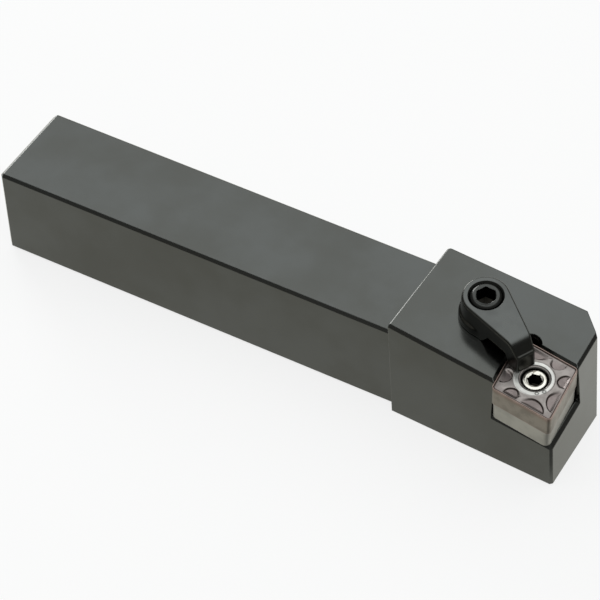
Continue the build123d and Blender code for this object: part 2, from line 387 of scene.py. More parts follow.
@dataclass(frozen=True)
class Mottle(SharedEffect):
    """Slow cloudy variation of a finish, with finer blotches in it."""

    finer: float = 5.0
    shares: Pair = (0.75, 0.25)
    contrast: Pair = (0.33, 0.67)
    name = "mottle"
    inputs = ("Scale",)
    outputs = {"Value": "NodeSocketFloat"}

    def wire(self, graph: Graph, given: bpy.types.NodeOutputs) -> list[Socket]:
        """Value = two noises, one of them finer, added by their shares and spread over 0..1.

        Args:
            graph: the group's graph.
            given: sockets of the group's inputs.

        Returns:
            The value.
        """
        place = graph.object_place()
        coarse = graph.noise(place, given["Scale"], 2.0)
        fine = graph.noise(place, graph.math("MULTIPLY", given["Scale"], self.finer), 3.0)
        both = graph.math("ADD", graph.math("MULTIPLY", coarse, self.shares[0]),
                          graph.math("MULTIPLY", fine, self.shares[1]))
        return [graph.spread(both, *self.contrast)]


@dataclass(frozen=True)
class ToolMarks(SharedEffect):
    """Height of fine cutter marks along X of the part, over a fine random grain."""

    stretch: Triple = (0.025, 1.0, 1.0)
    name = "tool_marks"
    inputs = ("Scale", "Lines", "Grain")
    outputs = {"Height": "NodeSocketFloat"}

    def wire(self, graph: Graph, given: bpy.types.NodeOutputs) -> list[Socket]:
        """Height = a noise stretched 40 times along X, plus an even grain, each times its own input.

        Args:
            graph: the group's graph.
            given: sockets of the group's inputs.

        Returns:
            The height.
        """
        place = graph.object_place()
        stretched = graph.node("Mapping", Vector=place, Scale=self.stretch).outputs[0]
        lines = graph.noise(stretched, given["Scale"], 2.0)
        grain = graph.noise(place, given["Scale"], 4.0)
        return [graph.math("ADD", graph.math("MULTIPLY", lines, given["Lines"]),
                           graph.math("MULTIPLY", grain, given["Grain"]))]


# Finishes


@dataclass(frozen=True)
class MetalFinish:
    """What the finishes share: mottled tone and roughness, a bump of fine marks, and worn edges.

    Roughness is given where the mottle is high and where it is low. Marks and edges are in millimetres.
    """

    name: str
    cloud_scale: float = 55.0
    roughness: Pair = (0.16, 0.19)
    mark_scale: float = 2600.0
    lines: float = 0.6
    grain: float = 0.8
    mark_depth: float = 0.0022
    round_edge: float = 0.0
    wear: float = 0.0
    # Whether the piece's socket mask gets near-black painted shade.
    shade_socket: bool = False
    tone: Rgb = (0.112, 0.116, 0.113)
    second_tone: Rgb = (0.098, 0.100, 0.094)
    bare: Rgb = (0.36, 0.36, 0.34)

    def colour(self, graph: Graph, cloud: Socket) -> Socket:
        """Colour before wear: two tones by the mottle."""
        return graph.mix(cloud, self.second_tone, self.tone)

    def build(self) -> bpy.types.Material:
        """Makes the material.

        Base colour: the finish's own, then bare metal where worn, then near-black painted shade in a
        socket.
        Bump: tool marks, over the rounded normal where the finish has one.

        Returns:
            The material.
        """
        material = bpy.data.materials.new(self.name)
        material.use_nodes = True
        graph = Graph(material.node_tree)
        join = graph.tree.links.new
        cloud = graph.group(Mottle().build(), Scale=self.cloud_scale).outputs["Value"]
        marks = graph.group(ToolMarks().build(), Scale=self.mark_scale, Lines=self.lines, Grain=self.grain)
        height = marks.outputs["Height"]
        bump = graph.node("Bump", Strength=1.0, Distance=self.mark_depth * MM, Height=height)
        colour = self.colour(graph, cloud)
        if self.round_edge:
            edge = graph.group(EdgeWear().build(), Radius=self.round_edge * MM, Amount=self.wear)
            join(edge.outputs["Normal"], bump.inputs["Normal"])
            colour = graph.mix(edge.outputs["Wear"], colour, self.bare)
        # Painted shade: near-black in the socket, where shade falls.
        if self.shade_socket:
            colour = graph.mix(graph.mask("socket"), colour, HOLLOW_SHADE)
        high, low = self.roughness
        shader = graph.tree.nodes["Principled BSDF"]
        shader.inputs["Metallic"].default_value = 1.0
        join(colour, shader.inputs["Base Color"])
        join(graph.spread(cloud, 0.0, 1.0, low, high), shader.inputs["Roughness"])
        join(bump.outputs[0], shader.inputs["Normal"])
        return material


@dataclass(frozen=True)
class BlackOxide(MetalFinish):
    """Blackened steel: dark, satin, with cloudy tone, fine marks and edges rubbed towards bare metal."""

    round_edge: float = 0.24
    wear: float = 0.12


@dataclass(frozen=True)
class ForgedBlack(MetalFinish):
    """The clamp's finish: forged and blackened, lighter on the flat top and darker on the slope, the sides
    and the underside.
    """

    cloud_scale: float = 120.0
    roughness: Pair = (0.27, 0.33)
    mark_scale: float = 2400.0
    lines: float = 0.2
    grain: float = 1.0
    mark_depth: float = 0.003
    round_edge: float = 0.10
    wear: float = 0.15
    tone: Rgb = (0.054, 0.055, 0.051)
    flat_top: Rgb = (0.112, 0.116, 0.113)
    bare: Rgb = (0.22, 0.22, 0.21)
    shade: Pair = (0.88, 1.06)

    def colour(self, graph: Graph, cloud: Socket) -> Socket:
        """The flat top's lighter tone where the piece's own mask says so, the darker tone elsewhere, shaded
        by the mottle.
        """
        tone = graph.mix(graph.mask("flat_top"), self.tone, self.flat_top)
        return graph.mix(1.0, tone, graph.spread(cloud, 0.0, 1.0, *self.shade), "MULTIPLY")


@dataclass(frozen=True)
class SinteredCarbide(MetalFinish):
    """Ground carbide: light grey satin with a fine grain and slightly rubbed, lighter edges."""

    cloud_scale: float = 300.0
    roughness: Pair = (0.38, 0.48)
    mark_scale: float = 5200.0
    lines: float = 0.5
    grain: float = 1.0
    mark_depth: float = 0.003
    round_edge: float = 0.08
    wear: float = 0.8
    tone: Rgb = (0.385, 0.378, 0.352)
    second_tone: Rgb = (0.345, 0.340, 0.318)
    bare: Rgb = (0.42, 0.42, 0.39)


@dataclass(frozen=True)
class InsertCoating(MetalFinish):
    """Coated insert: mauve-grey top, bare ring, copper hone line, brown flanks; painted shade in pockets,
    walls, bore and dimples.
    """

    cloud_scale: float = 420.0
    roughness: Pair = (0.33, 0.42)
    mark_scale: float = 6500.0
    lines: float = 0.15
    grain: float = 1.0
    mark_depth: float = 0.004
    tone: Rgb = (0.315, 0.286, 0.273)
    # Painted shade: the darker, browner tone of the pockets and the groove.
    pocket: Rgb = (0.240, 0.203, 0.196)
    ring: Rgb = (0.68, 0.67, 0.645)
    hone: Rgb = (0.32, 0.240, 0.212)
    flank: Rgb = (0.235, 0.212, 0.186)
    flank_top: Rgb = (0.235, 0.180, 0.150)
    # Painted shade on the steep pocket walls and in the band inside the rim.
    crease_shade: Rgb = (0.080, 0.062, 0.055)
    # Painted shade at the bore's mouth and in the dimples on the land.
    bore: Rgb = (0.15, 0.15, 0.142)
    shade: Pair = (0.90, 1.08)

    def colour(self, graph: Graph, cloud: Socket) -> Socket:
        """The tones are laid over one another by the piece's own masks, and shaded by the mottle. The
        pocket, wall, bore and socket layers are painted shade.

        Args:
            graph: the material's graph.
            cloud: the mottle's value.

        Returns:
            The colour.
        """
        side = graph.mix(graph.mask("flank_top"), self.flank, self.flank_top)
        # Painted shade: the pocket, wall, bore and socket layers. Ring, flank and hone are the coating's
        # own colours.
        layers = {"recess_shade": self.pocket, "crease_shade": self.crease_shade, "ring": self.ring, "flank": side,
                  "bore": self.bore, "socket": HOLLOW_SHADE, "hone": self.hone}
        colour = self.tone
        for name, tone in layers.items():
            colour = graph.mix(graph.mask(name), colour, tone)
        return graph.mix(1.0, colour, graph.spread(cloud, 0.0, 1.0, *self.shade), "MULTIPLY")


@dataclass(frozen=True)
class BrightSteel(MetalFinish):
    """Polished steel of the pin's head: warm and bright, with fine marks, a little staining and painted
    shade in its socket.
    """

    cloud_scale: float = 500.0
    roughness: Pair = (0.24, 0.38)
    mark_scale: float = 6000.0
    lines: float = 0.1
    grain: float = 1.0
    mark_depth: float = 0.0025
    shade_socket: bool = True
    tone: Rgb = (0.93, 0.90, 0.82)
    second_tone: Rgb = (0.42, 0.38, 0.32)
    stained: Pair = (0.25, 0.0)

    def colour(self, graph: Graph, cloud: Socket) -> Socket:
        """Steel, stained where the mottle is low."""
        return graph.mix(graph.spread(cloud, *self.stained), self.tone, self.second_tone)


# The pieces


@dataclass
class Insert:
    """The rhombic insert, with a chip breaker moulded in both faces. Millimetres, in the seat's frame."""

    apothem: float = 6.35
    thickness: float = 4.76
    nose_radius: float = 0.8
    bore: float = 2.58
    bore_top: float = -0.6
    mouth: float = 3.09
    # Each row: radius, height and share of painted shade at the bore's mouth.
    mouth_rows: tuple[Triple, ...] = (
        (2.59, -0.36, 1.0), (2.62, -0.30, 1.0), (2.70, -0.27, 1.0), (2.74, -0.19, 0.35), (2.78, -0.18, 0.1),
        (2.93, -0.14, 0.1), (2.96, -0.07, 0.35), (3.01, -0.05, 1.0), (3.06, -0.02, 1.0))
    land: float = 3.80
    land_step: float = 0.08
    ring_place: Pair = (-0.05, -0.20)
    ring_edge: Pair = (-0.12, 0.1)
    rim: float = 0.16
    rim_wall: float = 0.14
    rim_drop: float = 0.10
    hone: float = 0.08
    hone_on_side: float = 0.7
    hone_below: float = 0.3
    # Band inside the rim, measured from the rim, that gets painted shade.
    crease_shade: Pair = (0.20, 0.36)
    pocket_depth: float = 0.40
    pocket_wall: Pair = (0.34, 1.3)
    pocket_ease: float = 0.9
    pocket_shore: float = 1.3
    acute_pocket: Triple = (6.56, 3.39, 3.15)
    obtuse_pocket: Triple = (2.5, 5.25, 1.88)
    # Painted shade on the steep pocket walls, faded out near the rim.
    wall_shade: float = 0.8
    wall_shore: Pair = (0.1, 0.7)
    groove_depth: float = 0.10
    groove_shore: Pair = (0.5, 1.7)
    # groove_shade and knob_shade: painted shade in the groove, and less of the pockets' painted shade on
    # the knob.
    groove_shade: float = 0.45
    knob_place: Pair = (-1.25, 1.10)
    knob_size: Pair = (0.50, 0.36)
    knob_height: float = 0.13
    knob_shade: float = 0.5
    dots: tuple[Pair, ...] = ((3.30, -0.60), (3.31, 0.83))
    dot_radius: float = 0.30
    dot_width: float = 0.12
    dot_depth: float = 0.06
    # Painted shade in the dimples, in the bore's tone.
    dot_shade: float = 0.9
    side_top: float = -0.25
    tint: Pair = (-1.5, -0.1)
    crowding: Pair = (1.35, 0.35)
    columns: int = 400
    face_rows: int = 96
    turn_rows: int = 5
    side_rows: int = 8
    bore_rows: int = 6

    def inside(self, x: Array, y: Array) -> Array:
        """Distance from a point to the cutting edge, positive inside.

        nose_radius minus the signed distance to the inner rhombus, found in the first quadrant.

        Args:
            x, y: millimetres in the seat's frame.

        Returns:
            The distance.
        """
        inner = self.apothem - self.nose_radius
        first = np.array([inner / math.sin(HALF_CORNER), 0.0])
        second = np.array([0.0, inner / math.cos(HALF_CORNER)])
        edge = second - first
        px, py = np.abs(x), np.abs(y)
        t = np.clip(((px - first[0]) * edge[0] + (py - first[1]) * edge[1]) / edge.dot(edge), 0, 1)
        away = np.hypot(px - first[0] - t * edge[0], py - first[1] - t * edge[1])
        outside = px * math.sin(HALF_CORNER) + py * math.cos(HALF_CORNER) > inner
        return self.nose_radius - np.where(outside, away, -away)

    def along_edge(self, x: Array, y: Array) -> Array:
        """Place along the cutting edge of the first quadrant, from its middle towards the acute corner."""
        middle = (self.apothem / math.sin(HALF_CORNER) / 2, self.apothem / math.cos(HALF_CORNER) / 2)
        return (x - middle[0]) * math.cos(HALF_CORNER) - (y - middle[1]) * math.sin(HALF_CORNER)

    def pockets(self, x: Array, y: Array) -> tuple[Array, Array]:
        """Depth of the pockets as a share of 1, and a mask of their steep walls.

        Depth = 1 inside either disc, easing to 0 at its rim: over a short way on the side of the corner,
        over a long way on the side of the edge's middle.

        Args:
            x, y: millimetres in the seat's frame, in the first quadrant.

        Returns:
            Depth and wall.
        """
        short, long = self.pocket_wall
        lobe, wall = np.zeros_like(x), np.zeros_like(x)
        discs = ((self.acute_pocket, -1), (self.obtuse_pocket, 1))
        for (centre_x, centre_y, radius), towards_middle in discs:
            past = (self.along_edge(x, y) - self.along_edge(centre_x, centre_y)) * towards_middle
            soft = smoothstep(0.0, self.pocket_ease * radius, past)
            reach = (radius - np.hypot(x - centre_x, y - centre_y)) / (short + (long - short) * soft)
            rise = smoothstep(0.0, 1.0, reach)
            wall = np.maximum(wall, 4 * rise * (1 - rise) * (1 - soft))
            lobe = np.maximum(lobe, rise)
        return lobe, wall

    def relief(self, x: Array, y: Array) -> tuple[Array, Array, Array, Array]:
        """Height of the chip breaker below the face, with masks of painted shade in the pockets and groove,
        on the steep walls and in the band inside the rim, and of the dots.

        Groove = a shallow dip along the edge. Height = -(the deeper of pocket and groove) + a knob between
        the pockets - the drop inside the rim, which the land doesn't have - two small dots on the land.

        Args:
            x, y: millimetres in the seat's frame.

        Returns:
            Height, painted shade of the pockets, painted shade of the walls, and dot.
        """
        px, py = np.abs(x), np.abs(y)
        edge = self.inside(x, y)
        lobe, wall = self.pockets(px, py)
        within = smoothstep(self.rim, self.rim + self.rim_wall, edge)
        wall = wall * smoothstep(self.rim + self.wall_shore[0], self.wall_shore[1], edge)
        lobe = lobe * smoothstep(self.rim, self.pocket_shore, edge)
        groove = within * (1 - smoothstep(*self.groove_shore, edge))
        knob = np.exp(-((self.along_edge(px, py) - self.knob_place[0]) / self.knob_size[0]) ** 2
                      - ((edge - self.knob_place[1]) / self.knob_size[1]) ** 2)
        off_land = smoothstep(self.land - self.land_step, self.land + self.land_step, np.hypot(x, y))
        away = [np.hypot(x - dot_x, y - dot_y) for dot_x, dot_y in self.dots]
        dot = np.clip(sum(np.exp(-((far - self.dot_radius) / self.dot_width) ** 2) for far in away), 0, 1)
        height = -np.maximum(self.pocket_depth * lobe, self.groove_depth * groove)
        height = height + self.knob_height * knob * within
        height = np.minimum(height - self.rim_drop * within * off_land, 0.0)
        # Painted shade: a band inside the rim, and the pockets and groove darker, the knob less so.
        crease_shade = within * (1 - smoothstep(self.rim + self.crease_shade[0], self.rim + self.crease_shade[1], edge))
        recess_shade = np.clip(np.maximum(lobe, self.groove_shade * groove) - self.knob_shade * knob, 0, 1)
        return height - self.dot_depth * dot, recess_shade, np.maximum(self.wall_shade * wall, crease_shade), dot

    def build(self) -> bpy.types.Object:
        """One closed surface: up the bore, across the top to the edge, down the side and back under.

        Returns:
            The insert's object.
        """
        corners = rhombus(self.apothem - self.nose_radius, self.nose_radius)
        rim_x, rim_y, _ = Belt(corners, self.columns).sample()
        length = np.hypot(rim_x, rim_y)
        unit_x, unit_y = rim_x / length, rim_y / length
        share = np.linspace(0, 1, self.face_rows)[:, None]
        share = share * (self.crowding[0] - self.crowding[1] * share)
        reach = length - self.hone
        radius = self.mouth + share * (reach - self.mouth)
        face_x, face_y = radius * unit_x, radius * unit_y
        height, recess_shade, wall, dot = self.relief(face_x, face_y)
        turn = np.linspace(0, math.pi / 2, self.turn_rows)[1:, None]
        hone_r = reach + self.hone * np.sin(turn)
        hone_z = self.hone * (np.cos(turn) - 1) + height[-1:]
        side_z = np.linspace(self.side_top, -self.thickness / 2, self.side_rows)[:, None]
        bore_z = np.linspace(-self.thickness / 2, self.bore_top, self.bore_rows)[:, None]
        mouth_r, mouth_z, mouth_shade = (np.array(part)[:, None] for part in zip(*self.mouth_rows))
        bands = {"bore": (self.bore, bore_z), "mouth": (mouth_r, mouth_z), "face": (radius, height),
                 "hone": (hone_r, hone_z), "side": (length, side_z)}
        r, z = stack_rows(list(bands.values()), self.columns)

        def mask(**values: object) -> Array:
            """The given value in each named band, 0 in the others."""
            rows = [(values.get(name, 0.0), height) for name, (_, height) in bands.items()]
            return stack_rows(rows, self.columns)[0]

        flat_top = np.hypot(face_x - self.ring_place[0], face_y - self.ring_place[1])
        ring = 1 - smoothstep(self.land + self.ring_edge[0], self.land + self.ring_edge[1], flat_top)
        honed = smoothstep(self.rim + self.rim_wall, self.rim, self.inside(face_x, face_y))
        side_hone = np.zeros_like(side_z)
        side_hone[0] = self.hone_on_side
        # The pocket, wall and bore masks are painted shade; the socket mask paints the bore near-black as
        # shade.
        masks = {
            "ring": mask(face=ring), "recess_shade": mask(face=recess_shade), "crease_shade": mask(face=wall),
            "hone": mask(face=honed, hone=1.0, side=side_hone), "flank": mask(side=1.0),
            "flank_top": mask(side=smoothstep(*self.tint, side_z)), "socket": mask(bore=1.0),
            "bore": mask(bore=1.0, mouth=mouth_shade, face=self.dot_shade * dot)}
        upper, mirrored = len(r), slice(-2, 0, -1)
        r = np.concatenate([r, r[mirrored]])
        z = np.concatenate([z, -self.thickness - z[mirrored]])
        masks = {name: np.concatenate([values, values[mirrored]]) for name, values in masks.items()}
        masks["hone"][upper:] *= self.hone_below
        masks["flank_top"][upper:] = 0.0
        points = SEAT.place(r * unit_x, r * unit_y, z)
        return GridSurface("insert_coated", points, close_rows=True).build(sharp_degrees=60.0, **masks)


@dataclass
class Shim:
    """The carbide shim: stepped bore and chamfered foot. Millimetres, in the seat's frame."""

    apothem: float = 6.35
    inset: float = 0.12
    corner: float = 1.2
    top: float = -4.76
    foot: float = -9.52
    draft: float = 0.02
    edge: float = 0.05
    foot_in: float = 0.35
    foot_up: float = 0.5
    bore: float = 3.3
    recess: float = 4.2
    recess_depth: float = 1.5
    columns: int = 240
    side_rows: int = 6

    def build(self) -> bpy.types.Object:
        """One closed surface: up the bore and its step, across the top, down the side and back under.

        Outline: the belt round the rhombus's corners, drawn in by the draft times the depth.

        Returns:
            The shim's object.
        """
        inner = self.apothem - self.inset - self.corner
        x, y, facing = Belt(rhombus(inner, self.corner), self.columns).sample()
        polar = np.arctan2(y, x)
        step, brow = self.top - self.recess_depth, self.top - self.edge
        hole = ((self.bore, self.foot), (self.bore, step), (self.recess, step), (self.recess, brow),
                (self.recess + self.edge, self.top))
        heights = np.linspace(brow, self.foot + self.foot_up, self.side_rows)
        side = [(self.draft * (self.top - z), z) for z in heights]
        rim = [(self.edge, self.top), *side, (side[-1][0] + self.foot_in, self.foot)]
        parts = [(radius * np.cos(polar), radius * np.sin(polar), z) for radius, z in hole]
        parts += [(x - inset * np.cos(facing), y - inset * np.sin(facing), z) for inset, z in rim]
        points = SEAT.place(*stack_rows(parts, self.columns))
        return GridSurface("shim_ground", points, close_rows=True).build(sharp_degrees=30.0)


@dataclass
class TurnedPin:
    """A turned and threaded pin with a hexagon socket, drawn round its own axis. Millimetres.

    The profile is given as radius and height, from the socket's mouth down to the foot. A thread is given
    by its two ends and whether it is right-handed. Between two threads there is a neck.
    """

    name: str
    frame: TiltedFrame
    socket: float
    socket_depth: float
    top: float
    crown: tuple[Pair, ...]
    threads: tuple[tuple[float, float, bool], ...]
    foot: float
    thread_radius: float = 3.0
    foot_chamfer: float = 0.5
    neck_radius: float = 2.35
    neck_span: Pair = (0.62, 2.3)
    socket_turn: float = 0.0
    socket_span: Pair = (0.3, 0.28)
    socket_rows: int = 8
    mouth_reach: float = 0.62
    mouth_clear: float = 0.02
    drill_rows: tuple[Pair, ...] = ((0.45, -0.35), (0.98, 0.0), (1.0, 0.05))
    drill_tip: float = 0.5
    # Share of the near-black painted shade that is laid on the crown.
    crown_shade: float = 0.0
    pitch: float = 1.0
    thread_depth: float = 0.45
    thread_fade: float = 0.45
    rows_per_turn: int = 10
    columns: int = 120

    def socket_grid(self, flats: Array) -> list[tuple]:
        """Rows from the drilled floor of the socket up its flats.

        Args:
            flats: radius of the hexagon at each column.

        Returns:
            Radius, height and painted shade of each row.
        """
        floor = self.top - self.socket_depth
        rows = [(flats * share, floor + rise, 1.0) for share, rise in self.drill_rows]
        low, high = floor + self.socket_span[0], self.top - self.socket_span[1]
        return rows + [(flats, z, 1.0) for z in np.linspace(low, high, self.socket_rows)]

    def crown_grid(self, flats: Array) -> list[tuple]:
        """Rows over the crown, kept outside the hexagon's corners near the socket's mouth.

        Args:
            flats: radius of the hexagon at each column.

        Returns:
            Radius, height and painted shade of each row.
        """
        near, clear = self.socket * self.mouth_reach, flats + self.mouth_clear
        return [(np.maximum(clear, r) if r < near else r, z, self.crown_shade) for r, z in self.crown]

    def thread_grid(self, angle: Array) -> list[tuple]:
        """Rows down the threads, faded out at both ends, with the neck between them.

        Args:
            angle: angle of each column.

        Returns:
            Radius, height and painted shade, which is none here, of each thread and each row of the neck.
        """
        rows = []
        for start, end, right_handed in self.threads:
            if rows:
                rows += [(self.neck_radius, rows[0][1][-1] - down, 0.0) for down in self.neck_span]
            count = int(abs(start - end) / self.pitch * self.rows_per_turn)
            z = np.linspace(start, end, count)[:, None]
            fade = np.minimum(np.abs(z - start), np.abs(z - end)) / (self.thread_fade * self.pitch)
            wave = thread_wave(z, angle, self.pitch, right_handed)
            depth = wave * self.thread_depth * np.clip(fade, 0, 1)
            rows.append((self.thread_radius - depth, z, 0.0))
        return rows

    def build(self) -> bpy.types.Object:
        """Rows run up from the socket's floor, over the crown and down the threads to the foot.

        Hexagon: half the width over flats / cosine of the angle to the nearest flat's middle.

        Returns:
            The pin's object.
        """
        angle = np.arange(self.columns) / self.columns * FULL_TURN
        sixth = math.pi / 3
        from_flat = np.mod(angle - math.radians(self.socket_turn), sixth) - sixth / 2
        flats = self.socket / 2 / np.cos(from_flat)
        foot_radius = self.thread_radius - self.foot_chamfer
        rows = self.socket_grid(flats) + self.crown_grid(flats) + self.thread_grid(angle)
        rows += [(foot_radius * share, self.foot, 0.0) for share in (1.0, 0.5)]
        r, z, dark = stack_rows(rows, self.columns)
        points = self.frame.place(r * np.cos(angle), r * np.sin(angle), z)
        ends = np.array([self.top - self.socket_depth - self.drill_tip, self.foot])
        tips = self.frame.place(np.zeros(2), np.zeros(2), ends)
        # The socket mask is painted shade: full in the socket, the crown's share on the crown.
        return GridSurface(self.name, points, poles=tips).build(sharp_degrees=32.0, socket=dark)


def lock_pin() -> TurnedPin:
    """The pin through the insert and the shim. Heights are from the insert's top."""
    crown = ((1.30, -0.56), (1.46, -0.50), (1.60, -0.40), (1.68, -0.36), (1.88, -0.35), (2.06, -0.38),
             (2.20, -0.48), (2.27, -0.66), (2.27, -4.86), (3.85, -4.91), (4.0, -5.06), (4.0, -6.06),
             (3.85, -6.21), (3.0, -6.21))
    return TurnedPin("lock_pin_steel", SEAT, socket=2.5, socket_depth=3.0, top=-0.35, crown=crown,
                     threads=((-6.26, -16.75, True),), foot=-17.21)


def clamp_screw() -> TurnedPin:
    """The headless screw through the clamp. Heights are from the insert's top."""
    crown = ((1.80, 6.34), (1.92, 6.42), (2.04, 6.46), (2.34, 6.47), (2.40, 6.50), (2.46, 6.51),
             (2.52, 6.48), (2.96, 6.13), (3.0, 6.02))
    # Nearly half of the near-black painted shade lies on this screw's crown.
    return TurnedPin("clamp_screw_black", ARM, socket=3.5, socket_depth=3.2, top=6.51, crown=crown,
                     threads=((5.90, 2.2, False), (-1.35, -13.0, True)), foot=-13.45, socket_turn=29.0,
                     crown_shade=0.45)


@dataclass
class FingerClamp:
    """The forged clamp: round end, arched arm and a nose on the insert. Millimetres, in the arm's frame."""

    bore: float = 3.05
    bore_heights: tuple[float, ...] = (0.45, 3.0, 5.9)
    countersink: tuple[Pair, ...] = ((3.10, -0.37), (3.40, -0.06))
    mouth: float = 3.45
    round_end: float = 4.75
    nose_end: float = 14.05
    nose_half: float = 2.15
    nose_aside: float = -0.12
    nose_corner: float = 0.7
    top: float = 6.35
    slope_start: float = 11.45
    slope: float = 1.12
    bend: float = 0.8
    heel: float = 0.45
    heel_mouth: float = 3.3
    arch: float = 3.0
    arch_start: Pair = (4.3, 6.6)
    arch_end: Pair = (3.6, 1.8)
    foot: float = 0.05
    draft: float = 0.035
    flange: float = 0.36
    flange_top: Pair = (2.5, 1.9)
    flange_end: Pair = (1.5, 4.0)
    edge: float = 0.42
    edge_rows: tuple[Pair, ...] = (
        (0.80, 0.03), (0.55, 0.16), (0.20, 0.55), (0.06, 0.80), (0.0, 1.0))
    foot_rows: tuple[Pair, ...] = ((0.04, 0.04), (0.14, 0.0))
    foot_lift: float = 0.12
    flat_top_end: Pair = (-0.5, 0.9)
    columns: int = 320
    top_rows: int = 90
    side_rows: int = 26
    side_start: float = 0.04
    under_rows: int = 60

    def crown(self, x: Array) -> Array:
        """Height of the top: level, then down the slope. The bend is a parabola over twice its length."""
        t = np.clip((x - self.slope_start + self.bend) / (2 * self.bend), 0, 1)
        return self.top - self.slope * (self.bend * t**2 + np.maximum(x - self.slope_start - self.bend, 0))

    def belly(self, x: Array) -> Array:
        """Height of the underside: heel, arch and nose pad, eased into one another."""
        fall_start, fall_end = (self.nose_end - back for back in self.arch_end)
        return (self.heel + (self.arch - self.heel) * smoothstep(*self.arch_start, x)
                - (self.arch - self.foot) * smoothstep(fall_start, fall_end, x))

    def build(self) -> bpy.types.Object:
        """One closed surface round the screw: up the bore, out over the top, down the side and back under.

        Outline: the belt round the round end and the nose's corners, drawn in by draft times height.
        Heights: crown and belly at the point's place along the arm.

        Returns:
            The clamp's object.
        """
        nose_x, nose_y = self.nose_end - self.nose_corner, self.nose_half - self.nose_corner
        circles = ((nose_x, self.nose_aside - nose_y, self.nose_corner),
                   (nose_x, self.nose_aside + nose_y, self.nose_corner), (0.0, 0.0, self.round_end))
        x, y, facing = Belt(circles, self.columns).sample()
        out_x, out_y = np.cos(facing), np.sin(facing)

        def drawn_in(inset: Array) -> tuple[Array, Array]:
            """The outline moved inwards by the inset."""
            return x - inset * out_x, y - inset * out_y

        lean = self.draft * (self.crown(x) - self.foot)
        brow_x, brow_y = drawn_in(lean + self.edge)
        brow = self.crown(brow_x)
        polar = np.arctan2(brow_y, brow_x)
        ring_x, ring_y = np.cos(polar), np.sin(polar)
        hole = [(self.bore, z) for z in self.bore_heights]
        hole += [(r, self.top + z) for r, z in self.countersink]
        parts = [(r * ring_x, r * ring_y, z, 0.0) for r, z in hole]
        share = np.linspace(0, 1, self.top_rows)[:, None]
        top_x = self.mouth * ring_x + share * (brow_x - self.mouth * ring_x)
        top_y = self.mouth * ring_y + share * (brow_y - self.mouth * ring_y)
        # The flat top's lighter tone fades out over the bend.
        level_end, slope_top = (self.slope_start + part * self.bend for part in self.flat_top_end)
        parts.append((top_x, top_y, self.crown(top_x), 1 - smoothstep(level_end, slope_top, top_x)))
        for back, drop in self.edge_rows:
            parts.append((*drawn_in(lean + self.edge * back), brow - self.edge * drop, 0.0))
        round_back = 1 - smoothstep(*self.flange_end, x)
        for down in np.linspace(self.side_start, 1, self.side_rows):
            height = (brow - self.edge) * (1 - down) + (self.belly(x) + self.foot_lift) * down
            flange = self.flange * smoothstep(*self.flange_top, height) * round_back
            parts.append((*drawn_in(self.draft * (height - self.foot) - flange), height, 0.0))
        for inset, rise in self.foot_rows:
            side_x, side_y = drawn_in(inset - self.flange * round_back)
            parts.append((side_x, side_y, self.belly(side_x) + rise, 0.0))
        under = np.linspace(0, 1, self.under_rows)[1:, None]
        low_x = side_x + under * (self.heel_mouth * ring_x - side_x)
        low_y = side_y + under * (self.heel_mouth * ring_y - side_y)
        parts.append((low_x, low_y, self.belly(low_x), 0.0))
        rows_x, rows_y, rows_z, flat_top = stack_rows(parts, self.columns)
        points = ARM.place(rows_x, rows_y, rows_z)
        return GridSurface("clamp_forged", points, close_rows=True).build(sharp_degrees=40.0, flat_top=flat_top)


@dataclass
class TappedHole:
    """The thread cut in one of the body's holes, past the end of the pin or screw. Millimetres."""

    name: str
    frame: TiltedFrame
    top: float
    bottom: float
    radius: float = 3.04
    wall: float = 0.03
    depth: float = 0.42
    fade: float = 0.4
    pitch: float = 1.0
    rows_per_turn: int = 12
    columns: int = 96

    def build(self) -> bpy.types.Object:
        """A closed sleeve, plain outside and threaded inside, with the thread faded out at both ends.

        Returns:
            The sleeve's object.
        """
        angle = np.arange(self.columns) / self.columns * FULL_TURN
        count = int((self.top - self.bottom) / self.pitch * self.rows_per_turn)
        z = np.linspace(self.top, self.bottom, count)[:, None]
        fade = np.clip(np.minimum(self.top - z, z - self.bottom) / (self.fade * self.pitch), 0, 1)
        inner = self.radius - self.wall - self.depth * thread_wave(z, angle, self.pitch) * fade
        rows = [(self.radius, self.top), (inner, z), (self.radius, self.bottom)]
        r, heights = stack_rows(rows, self.columns)
        points = self.frame.place(r * np.cos(angle), r * np.sin(angle), heights)
        return GridSurface(self.name, points, close_rows=True).build()


# The sub-assemblies


def put_on(piece: bpy.types.Object, material: bpy.types.Material) -> None:
    """Gives a piece one material, in every slot that it has.

    Args:
        piece: the piece.
        material: the material.
    """
    slots = piece.data.materials
    if not slots:
        slots.append(material)
    for number in range(len(slots)):
        slots[number] = material


def stand_for(piece: bpy.types.Object, finish: MetalFinish, node: str, body: Body) -> str:
    """Finishes a new piece, and makes it ride on its body and stand for its CAD node.

    Args:
        piece: the new piece.
        finish: its finish.
        node: the CAD node that it replaces.
        body: the body that it rides on.

    Returns:
        The piece's name.
    """
    put_on(piece, finish.build())
    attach(piece, body.value)
    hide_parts(node)
    return piece.name


@dataclass
class Holder:
    """The body, kept from the CAD with a finish of its own, and the threads in it."""

    node: str = "holder_body"
    pin_thread: Pair = (-17.4, -20.35)
    screw_thread: Pair = (-13.7, -22.3)

    def build(self) -> list[str]:
        """Gives the body its material, and adds the threads in the two holes that go right through it.

        Returns:
            The names of the pieces.
        """
        put_on(frame["nodes"][self.node], BlackOxide("black_oxide_body").build())
        material = BlackOxide("black_oxide_threads", wear=0.6, round_edge=0.05).build()
        holes = [TappedHole("pin_hole_thread", SEAT, *self.pin_thread),
                 TappedHole("screw_hole_thread", ARM, *self.screw_thread)]
        for hole in holes:
            piece = hole.build()
            put_on(piece, material)
            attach(piece, Body.HOLDER.value)
        return [self.node, *(hole.name for hole in holes)]


